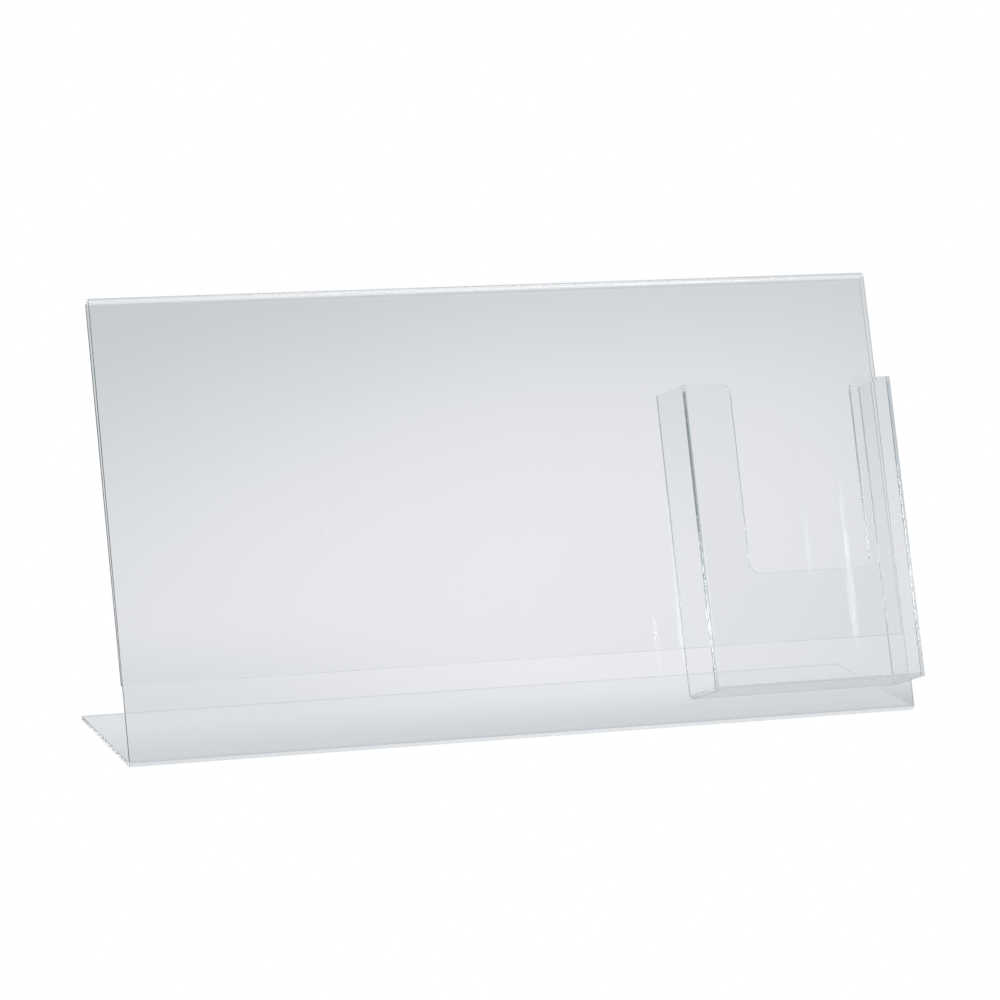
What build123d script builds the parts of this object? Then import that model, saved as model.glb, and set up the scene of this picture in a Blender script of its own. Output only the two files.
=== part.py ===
from build123d import *
import os
from math import cos, radians, sin, tan

# Clear acrylic slant-back sign holder with a tri-fold brochure pocket, in millimetres.
# The origin is the bottom centre of the whole rack: +X to the right, +Y to the back, +Z up.

# --- sheet stock and welding ---
SHEET = 2.0  # thickness of every piece
WELD_FILM = 0.05  # solvent cement between two welded faces
EDGE_ROUND = 0.25  # flame-polished cut edges

# --- folded sheet: base, front panel and back panel in one piece ---
RACK_WIDTH = 397.0
LEAN = 20.7  # front panel from the vertical, in degrees
BASE_DEPTH = 95.5  # from the front corner to the rear edge, along the table
PANEL_HEIGHT = 222.0  # from the front corner to the top of the fold, up the slope
FRONT_BEND_RADIUS = 2.8  # outside
FOLD_THICKNESS = 7.6  # over both panels at the top
FOLD_FRONT_RADIUS = 2.4  # outside
FOLD_BACK_RADIUS = 4.0  # outside
BACK_PANEL_FOOT = 39.0  # how far up the slope the back panel ends
CLOSING_ANGLE = 1.05  # degrees the back panel turns in, so that its foot grips the sign

# --- brochure pocket, measured in the plane of the front panel ---
POCKET_RIGHT_MARGIN = 8.7  # from the pocket to the right edge of the sheet
POCKET_WIDTH = 109.6
POCKET_DEPTH = 36.5  # from the panel to the outside of the pocket's front
POCKET_BOTTOM = 13.7  # up the slope
POCKET_HEIGHT = 148.0
POCKET_BEND_RADIUS = 2.6  # outside
SIDE_WALL_RISE = 1.8  # the side walls are this much higher at the panel than at the front

# --- finger cut-out in the pocket's front ---
CUTOUT_WIDTH = 62.7
CUTOUT_SHIFT = 0.7  # its middle is this far right of the pocket's middle
CUTOUT_DEPTH = 93.1  # from the top edge of the pocket's front
CUTOUT_CORNER = 5.0

# --- derived from the dimensions above ---
POCKET_FRONT_LOW_Y = POCKET_BOTTOM * sin(radians(LEAN)) - POCKET_DEPTH * cos(radians(LEAN))
RACK_MIDDLE_Y = (BASE_DEPTH + POCKET_FRONT_LOW_Y) / 2
POCKET_MIDDLE_X = RACK_WIDTH / 2 - POCKET_RIGHT_MARGIN - POCKET_WIDTH / 2
FRONT_CORNER = Vector(0, -RACK_MIDDLE_Y, 0)

# Plane of the front panel: x across, y up the slope, z out of its front face.
PANEL = Plane(
    origin=FRONT_CORNER,
    x_dir=(1, 0, 0),
    z_dir=(0, -cos(radians(LEAN)), sin(radians(LEAN))),
)


def outside_path():
    """Outside face of the folded sheet seen from the side, from the base's rear to the back panel's foot."""
    bend_turn = 90 + LEAN
    corner_to_bend = FRONT_BEND_RADIUS * tan(radians(bend_turn / 2))
    front_length = PANEL_HEIGHT - FOLD_FRONT_RADIUS - corner_to_bend
    top_length = FOLD_THICKNESS - FOLD_FRONT_RADIUS - FOLD_BACK_RADIUS
    back_length = (PANEL_HEIGHT - FOLD_BACK_RADIUS - BACK_PANEL_FOOT) / cos(radians(CLOSING_ANGLE))
    base = Line((BASE_DEPTH, 0), (corner_to_bend, 0))
    bend = JernArc(base @ 1, base % 1, FRONT_BEND_RADIUS, -bend_turn)
    front = Line(bend @ 1, bend @ 1 + (bend % 1) * front_length)
    over = JernArc(front @ 1, front % 1, FOLD_FRONT_RADIUS, -90)
    top = Line(over @ 1, over @ 1 + (over % 1) * top_length)
    down = JernArc(top @ 1, top % 1, FOLD_BACK_RADIUS, -(90 + CLOSING_ANGLE))
    back = Line(down @ 1, down @ 1 + (down % 1) * back_length)
    return Wire([base, bend, front, over, top, down, back])


def folded_sheet():
    """Base, front panel and back panel: one sheet bent along two lines."""
    profile = make_face(outside_path().offset_2d(SHEET, side=Side.RIGHT))
    side_view = Plane(origin=FRONT_CORNER, x_dir=(0, 1, 0), z_dir=(1, 0, 0))
    sheet = extrude(side_view * profile, amount=RACK_WIDTH / 2, both=True)
    return polished(sheet)


def pocket_shell():
    """Left wall, front and right wall of the pocket: one sheet bent along two lines."""
    across = POCKET_WIDTH / 2
    path = FilletPolyline(
        (-across, WELD_FILM),
        (-across, POCKET_DEPTH),
        (across, POCKET_DEPTH),
        (across, WELD_FILM),
        radius=POCKET_BEND_RADIUS,
    )
    section = make_face(Wire(path.edges()).offset_2d(SHEET, side=Side.RIGHT))
    from_below = Plane(origin=(POCKET_MIDDLE_X, 0, 0), x_dir=(1, 0, 0), z_dir=(0, -1, 0))
    shell = extrude(from_below * section, amount=-(POCKET_HEIGHT + SIDE_WALL_RISE))
    shell = shell - side_wall_slope() - finger_cutout()
    shell = fillet(cutout_corners(shell), CUTOUT_CORNER)
    return polished(PANEL * Pos(0, POCKET_BOTTOM, 0) * shell)


def side_wall_slope():
    """What is cut off the top of the pocket: it slopes down from the panel to the front."""
    top = POCKET_HEIGHT + SIDE_WALL_RISE
    slope = Polyline((0, top), (POCKET_DEPTH, POCKET_HEIGHT), (POCKET_DEPTH, top), close=True)
    from_right = Plane(origin=(POCKET_MIDDLE_X, 0, 0), x_dir=(0, 0, 1), z_dir=(-1, 0, 0))
    return extrude(from_right * make_face(slope), amount=POCKET_WIDTH, both=True)


def finger_cutout():
    """Square-cornered opening in the pocket's front; the corners are rounded afterwards."""
    opening = Box(CUTOUT_WIDTH, 2 * CUTOUT_DEPTH, 2 * SHEET)
    return Pos(POCKET_MIDDLE_X + CUTOUT_SHIFT, POCKET_HEIGHT, POCKET_DEPTH - SHEET) * opening


def cutout_corners(shell):
    """The four short edges through the pocket's front where the cut-out turns a corner."""
    middle = POCKET_MIDDLE_X + CUTOUT_SHIFT
    through_sheet = shell.edges().filter_by(lambda edge: edge.length < 1.1 * SHEET)
    return through_sheet.filter_by(
        lambda edge: abs(abs(edge.center().X - middle) - CUTOUT_WIDTH / 2) < SHEET / 2
    )


def pocket_floor():
    """Flat strip between the pocket's walls, flush with their lower edges."""
    inset = SHEET + WELD_FILM
    depth = POCKET_DEPTH - SHEET - 2 * WELD_FILM
    floor = Box(
        POCKET_WIDTH - 2 * inset,
        SHEET,
        depth,
        align=(Align.CENTER, Align.MIN, Align.MIN),
    )
    front_corners = floor.edges().filter_by(Axis.Y).group_by(Axis.Z)[-1]
    floor = fillet(front_corners, POCKET_BEND_RADIUS - SHEET)
    return polished(PANEL * Pos(POCKET_MIDDLE_X, POCKET_BOTTOM, WELD_FILM) * floor)


def polished(piece):
    """The piece with all its sharp edges rounded, as flame polishing leaves them."""
    sharp = [edge for edge in piece.edges() if not is_smooth(piece, edge)]
    return fillet(sharp, EDGE_ROUND)


def is_smooth(piece, edge):
    """Whether the two faces that meet at the edge run into each other without a corner."""
    first, second = [face for face in piece.faces() if edge in face.edges()]
    middle = edge @ 0.5
    return first.normal_at(middle).get_angle(second.normal_at(middle)) < 1


def main():
    pieces = {
        "folded_sheet": folded_sheet(),
        "pocket_shell": pocket_shell(),
        "pocket_floor": pocket_floor(),
    }
    os.makedirs("parts", exist_ok=True)
    for name, piece in pieces.items():
        export_step(piece, f"parts/{name}.step")


main()
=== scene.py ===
import bpy
from math import cos, pi, radians, sin
from mathutils import Matrix, Vector
from mathutils.bvhtree import BVHTree

# Looks of the clear acrylic brochure rack: materials, camera and studio, in metres, in the CAD's frame.

# --- acrylic sheet ---
SHEET = 0.002
CUT_EDGE_DEPTH = 1.3 * SHEET  # where the acrylic behind a face is deeper than this, the face is a cut edge
FACE_SKIN = SHEET / 100  # how far below a face its depth is measured from
ACRYLIC_IOR = 1.49
ABSORPTION_DENSITY = 1.0  # per metre of path inside the sheet
ABSORPTION_COLOUR = (0.70, 0.78, 0.80, 1.0)
CLEAR_TINT = (0.995, 1.0, 1.0, 1.0)
FAINT_TINT = (0.978, 0.986, 0.988, 1.0)
TINT_NOISE = (9.0, 3.0)  # scale, in cells per metre, and detail
FACE_ROUGHNESS = (0.0, 0.008)
EDGE_ROUGHNESS = (0.01, 0.06)
GLOSS_NOISE = (35.0, 5.0)
GLOSS_NOISE_RANGE = (0.3, 0.7)  # noise values that give the lowest and the highest roughness
SCRATCH_ROUGHNESS = 0.10
SCRATCH_TURNS = (radians(12.0), radians(-31.0))
SCRATCH_STRETCH = (9.0, 300.0, 900.0)  # noise cells per metre along and across the marks
SCRATCH_NOISE = (1.0, 2.0)
SCRATCH_RANGE = (0.68, 0.76)  # noise values where a mark begins and where it is full
SPECK_TINT = (0.55, 0.56, 0.57, 1.0)
SPECK_RADII = (0.000525, 0.000175)  # where a speck begins and where it is full
SPECK_SPACING = 0.008  # one cell of this size holds one speck at most
SPECK_SHARE = 0.02  # of the cells

# --- camera ---
CAMERA_PLACE = Vector((-0.6347, -1.7601, 0.4785))
CAMERA_YAW = 19.582  # degrees to the right of straight back
CAMERA_DOWN = 11.151
CAMERA_ROLL = 0.923
CAMERA_LENS = 143.49  # on a 36 mm wide sensor

# --- studio ---
WHITE = (1.0, 1.0, 1.0, 1.0)
FLOOR_RADIUS = 8.0
FLOOR_SIDES = 64
FLOOR_GAP = 0.0002  # the rack stands this much above the floor
# The floor glows; its pool of light and its shades are painted into the glow's colour, not cast by the
# lamps.
POOL_MIDDLE = Vector((0.12, 0.339, 0.0))
POOL_TURN = radians(-28.2)
POOL_LENGTH = 1.401
POOL_WIDTH = 0.453
POOL_FADE = 1.294  # where the pool ends, in its own lengths and widths
POOL_COLOUR = (0.895, 0.889, 0.911, 1.0)
SHADE_COLOUR = (0.596, 0.633, 0.657, 1.0)
CORNER_SHADE = 0.45  # how much of the painted shade colour there is in the near left corner of the pool
CORNER_X = (0.08, -0.17)  # the corner's shade grows from the first to the second
CORNER_Y = (0.28, 0.06)
RACK_SHADE_COLOUR = (0.54, 0.57, 0.60, 1.0)
RACK_SHADE_Y = (0.055, -0.03)  # the painted shade below the front bend grows from the first to the second
FRONT_COLOUR = (0.86, 0.87, 0.89, 1.0)
FRONT_Y = (-0.06, -0.12)  # in front of the rack the painted light on the floor is bright again
DARK_ROOM = (0.09, 0.09, 0.10, 1.0)
LIT_ROOM = (0.46, 0.46, 0.48, 1.0)
CEILING = (1.1, 1.1, 1.1, 1.0)
BACKDROP = (0.80, 0.82, 0.84, 1.0)
LIT_ROOM_Z = (0.30, 0.42)  # Z of the directions between which the room gets lighter
CEILING_Z = (0.60, 0.85)
BACKDROP_Y = (0.25, 0.75)
BOUNCES = 128  # light runs a long way inside the sheet before it leaves at an edge
BRIGHTEST_SAMPLE = 9.0  # weakens stray sparkles, but lets the lights' reflections show
LIGHT_TARGET = Vector((0.135, -0.03, 0.09))  # the middle of the pocket
# name: degrees to the right of the front, degrees up, distance, width, height, brightness
LIGHTS = {
    "right_softbox": (38.0, 23.5, 3.0, 0.36, 0.17, 18.0),
    "side_softbox": (63.0, 16.2, 3.0, 0.30, 0.14, 16.0),
    "left_softbox": (-32.0, 24.0, 3.0, 0.30, 0.14, 5.0),
}
OVERHEAD_PLACE = Vector((0.50, 0.15, 1.6))
OVERHEAD_SIZE = (0.24, 0.5)
OVERHEAD_BRIGHTNESS = 4.0


def new_material(name):
    material = bpy.data.materials.new(name)
    material.use_nodes = True
    material.node_tree.nodes.clear()
    return material, material.node_tree


def math_node(tree, operation, first, second=None):
    node = tree.nodes.new("ShaderNodeMath")
    node.operation = operation
    for socket, value in zip(node.inputs, (first, second)):
        if isinstance(value, bpy.types.NodeSocket):
            tree.links.new(value, socket)
        elif value is not None:
            socket.default_value = value
    return node.outputs["Value"]


def ramp_node(tree, value, low, high, to_low=0.0, to_high=1.0):
    """Goes smoothly from to_low to to_high while the value goes from low to high."""
    node = tree.nodes.new("ShaderNodeMapRange")
    node.interpolation_type = "SMOOTHSTEP"
    node.inputs["From Min"].default_value = low
    node.inputs["From Max"].default_value = high
    node.inputs["To Min"].default_value = to_low
    node.inputs["To Max"].default_value = to_high
    tree.links.new(value, node.inputs["Value"])
    return node.outputs["Result"]


def mix_colours(tree, factor, first, second):
    """The first colour where the factor is 0, the second where it is 1."""
    node = tree.nodes.new("ShaderNodeMix")
    node.data_type = "RGBA"
    sockets = [socket for socket in node.inputs if socket.type == "RGBA"]
    for socket, value in zip(sockets, (first, second)):
        if isinstance(value, bpy.types.NodeSocket):
            tree.links.new(value, socket)
        else:
            socket.default_value = value
    tree.links.new(factor, node.inputs["Factor"])
    return next(socket for socket in node.outputs if socket.type == "RGBA")


def noise_node(tree, vector, scale, detail):
    node = tree.nodes.new("ShaderNodeTexNoise")
    node.inputs["Scale"].default_value = scale
    node.inputs["Detail"].default_value = detail
    tree.links.new(vector, node.inputs["Vector"])
    return node.outputs["Fac"]


def scratches(tree, place):
    """Thin wiping marks in two directions, 0 between them and 1 on them."""
    marks = None
    for turn in SCRATCH_TURNS:
        stretch = tree.nodes.new("ShaderNodeMapping")
        stretch.inputs["Rotation"].default_value = (0.0, turn, 0.0)
        stretch.inputs["Scale"].default_value = SCRATCH_STRETCH
        tree.links.new(place, stretch.inputs["Vector"])
        noise = noise_node(tree, stretch.outputs["Vector"], *SCRATCH_NOISE)
        line = ramp_node(tree, noise, *SCRATCH_RANGE)
        marks = line if marks is None else math_node(tree, "MAXIMUM", marks, line)
    return marks


def specks(tree, place):
    """A few specks of dust where a random point in space happens to touch the sheet."""
    cells = tree.nodes.new("ShaderNodeTexVoronoi")
    cells.inputs["Scale"].default_value = 1.0 / SPECK_SPACING
    lot = tree.nodes.new("ShaderNodeSeparateColor")
    tree.links.new(place, cells.inputs["Vector"])
    tree.links.new(cells.outputs["Color"], lot.inputs["Color"])
    chosen = math_node(tree, "LESS_THAN", lot.outputs["Red"], SPECK_SHARE)
    outer, inner = [radius / SPECK_SPACING for radius in SPECK_RADII]
    inside = ramp_node(tree, cells.outputs["Distance"], outer, inner)
    return math_node(tree, "MULTIPLY", chosen, inside)


def acrylic(name, roughness):
    """Clear acrylic: slightly uneven tint and gloss, wiping marks and a few specks of dust."""
    material, tree = new_material(name)
    nodes = tree.nodes
    output = nodes.new("ShaderNodeOutputMaterial")
    shader = nodes.new("ShaderNodeBsdfPrincipled")
    shader.inputs["Transmission Weight"].default_value = 1.0
    shader.inputs["IOR"].default_value = ACRYLIC_IOR
    place = nodes.new("ShaderNodeTexCoord").outputs["Object"]
    tint = mix_colours(tree, noise_node(tree, place, *TINT_NOISE), CLEAR_TINT, FAINT_TINT)
    tint = mix_colours(tree, specks(tree, place), tint, SPECK_TINT)
    smudge = ramp_node(tree, noise_node(tree, place, *GLOSS_NOISE), *GLOSS_NOISE_RANGE, *roughness)
    marks = math_node(tree, "MULTIPLY", scratches(tree, place), SCRATCH_ROUGHNESS)
    rough = math_node(tree, "ADD", smudge, marks)
    absorption = nodes.new("ShaderNodeVolumeAbsorption")
    absorption.inputs["Color"].default_value = ABSORPTION_COLOUR
    absorption.inputs["Density"].default_value = ABSORPTION_DENSITY
    tree.links.new(tint, shader.inputs["Base Color"])
    tree.links.new(rough, shader.inputs["Roughness"])
    tree.links.new(shader.outputs["BSDF"], output.inputs["Surface"])
    tree.links.new(absorption.outputs["Volume"], output.inputs["Volume"])
    return material


def dress(piece, face_material, edge_material):
    """Gives the sheet's faces one material and its cut edges the other, told apart by their depth."""
    mesh = piece.data
    mesh.materials.clear()
    mesh.materials.append(face_material)
    mesh.materials.append(edge_material)
    points = [vertex.co for vertex in mesh.vertices]
    outlines = [face.vertices for face in mesh.polygons]
    solid = BVHTree.FromPolygons(points, outlines)
    for face in mesh.polygons:
        start = face.center - face.normal * FACE_SKIN
        *_, depth = solid.ray_cast(start, -face.normal)
        face.material_index = int(depth is None or depth > CUT_EDGE_DEPTH)


def add_camera():
    """The camera, turned by its yaw, then tipped down, then rolled."""
    yaw, down, roll = radians(CAMERA_YAW), radians(CAMERA_DOWN), radians(CAMERA_ROLL)
    forward = Vector((sin(yaw) * cos(down), cos(yaw) * cos(down), -sin(down)))
    level = Vector((cos(yaw), -sin(yaw), 0.0))
    upright = level.cross(forward)
    right = level * cos(roll) + upright * sin(roll)
    up = upright * cos(roll) - level * sin(roll)
    camera = bpy.data.objects.new("camera", bpy.data.cameras.new("camera"))
    camera.data.lens = CAMERA_LENS
    turn = Matrix((right, up, -forward)).transposed().to_4x4()
    camera.matrix_world = Matrix.Translation(CAMERA_PLACE) @ turn
    bpy.context.scene.collection.objects.link(camera)
    bpy.context.scene.camera = camera


def white_to_camera(tree, colour):
    """White where the stage itself is in view, and the colour in reflections and through the acrylic."""
    seen = tree.nodes.new("ShaderNodeLightPath")
    return mix_colours(tree, seen.outputs["Is Camera Ray"], colour, WHITE)


def floor_material():
    """A pale floor that glows, with a painted pool of light behind the rack and a painted shade along its
    front.
    """
    material, tree = new_material("floor")
    nodes = tree.nodes
    output = nodes.new("ShaderNodeOutputMaterial")
    place = nodes.new("ShaderNodeTexCoord")
    pool = nodes.new("ShaderNodeMapping")
    pool.vector_type = "TEXTURE"
    pool.inputs["Location"].default_value = POOL_MIDDLE
    pool.inputs["Rotation"].default_value = (0.0, 0.0, POOL_TURN)
    pool.inputs["Scale"].default_value = (POOL_WIDTH, POOL_LENGTH, 1.0)
    away = nodes.new("ShaderNodeVectorMath")
    away.operation = "LENGTH"
    split = nodes.new("ShaderNodeSeparateXYZ")
    glow = nodes.new("ShaderNodeEmission")
    link = tree.links.new
    link(place.outputs["Object"], pool.inputs["Vector"])
    link(pool.outputs["Vector"], away.inputs[0])
    link(place.outputs["Object"], split.inputs["Vector"])
    far = ramp_node(tree, away.outputs["Value"], 0.0, POOL_FADE)
    left = ramp_node(tree, split.outputs["X"], *CORNER_X)
    near = ramp_node(tree, split.outputs["Y"], *CORNER_Y, 0.0, CORNER_SHADE)
    corner = math_node(tree, "MULTIPLY", left, near)
    under = ramp_node(tree, split.outputs["Y"], *RACK_SHADE_Y)
    front = ramp_node(tree, split.outputs["Y"], *FRONT_Y)
    colour = mix_colours(tree, far, POOL_COLOUR, SHADE_COLOUR)
    colour = mix_colours(tree, corner, colour, SHADE_COLOUR)
    colour = mix_colours(tree, under, colour, RACK_SHADE_COLOUR)
    colour = mix_colours(tree, front, colour, FRONT_COLOUR)
    link(white_to_camera(tree, colour), glow.inputs["Color"])
    link(glow.outputs["Emission"], output.inputs["Surface"])
    return material


def add_floor():
    bpy.ops.mesh.primitive_circle_add(vertices=FLOOR_SIDES, radius=FLOOR_RADIUS, fill_type="NGON")
    floor = bpy.context.object
    floor.location.z = -FLOOR_GAP
    floor.name = "floor"
    floor.data.materials.append(floor_material())


def add_world():
    """A dark room with a light ceiling, and a pale backdrop behind the rack."""
    world = bpy.data.worlds.new("studio")
    world.use_nodes = True
    tree = world.node_tree
    nodes = tree.nodes
    background = nodes["Background"]
    place = nodes.new("ShaderNodeTexCoord")
    split = nodes.new("ShaderNodeSeparateXYZ")
    link = tree.links.new
    link(place.outputs["Generated"], split.inputs["Vector"])
    lit = ramp_node(tree, split.outputs["Z"], *LIT_ROOM_Z)
    high = ramp_node(tree, split.outputs["Z"], *CEILING_Z)
    back = ramp_node(tree, split.outputs["Y"], *BACKDROP_Y)
    colour = mix_colours(tree, lit, DARK_ROOM, LIT_ROOM)
    colour = mix_colours(tree, high, colour, CEILING)
    colour = mix_colours(tree, back, colour, BACKDROP)
    link(white_to_camera(tree, colour), background.inputs["Color"])
    bpy.context.scene.world = world


def add_light(name, place, size, brightness):
    """A soft light that shines on the pocket and shows only in reflections and through the acrylic."""
    panel = bpy.data.lights.new(name, "AREA")
    panel.shape = "RECTANGLE"
    panel.size, panel.size_y = size
    panel.energy = brightness * pi * panel.size * panel.size_y
    light = bpy.data.objects.new(name, panel)
    light.location = place
    light.rotation_euler = (place - LIGHT_TARGET).to_track_quat("Z", "Y").to_euler()
    light.visible_camera = False
    bpy.context.scene.collection.objects.link(light)


def add_lights():
    for name, (azimuth, elevation, distance, width, height, brightness) in LIGHTS.items():
        side, rise = radians(azimuth), radians(elevation)
        way = Vector((sin(side) * cos(rise), -cos(side) * cos(rise), sin(rise)))
        add_light(name, LIGHT_TARGET + way * distance, (width, height), brightness)
    add_light("overhead_softbox", OVERHEAD_PLACE, OVERHEAD_SIZE, OVERHEAD_BRIGHTNESS)


def set_rendering():
    """Plain colours, and paths long enough for the light inside the sheet."""
    scene = bpy.context.scene
    scene.view_settings.view_transform = "Standard"
    scene.cycles.max_bounces = BOUNCES
    scene.cycles.transmission_bounces = BOUNCES
    scene.cycles.glossy_bounces = BOUNCES
    scene.cycles.sample_clamp_indirect = BRIGHTEST_SAMPLE


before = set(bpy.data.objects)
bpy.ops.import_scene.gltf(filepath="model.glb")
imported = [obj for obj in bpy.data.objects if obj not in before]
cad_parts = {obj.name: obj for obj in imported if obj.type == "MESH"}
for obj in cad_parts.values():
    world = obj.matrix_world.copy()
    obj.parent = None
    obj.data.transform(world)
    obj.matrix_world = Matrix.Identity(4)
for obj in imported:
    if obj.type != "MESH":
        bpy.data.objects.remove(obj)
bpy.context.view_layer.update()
for node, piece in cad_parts.items():
    face = acrylic(node + "_face", FACE_ROUGHNESS)
    edge = acrylic(node + "_edge", EDGE_ROUGHNESS)
    dress(piece, face, edge)
add_camera()
add_floor()
add_world()
add_lights()
set_rendering()
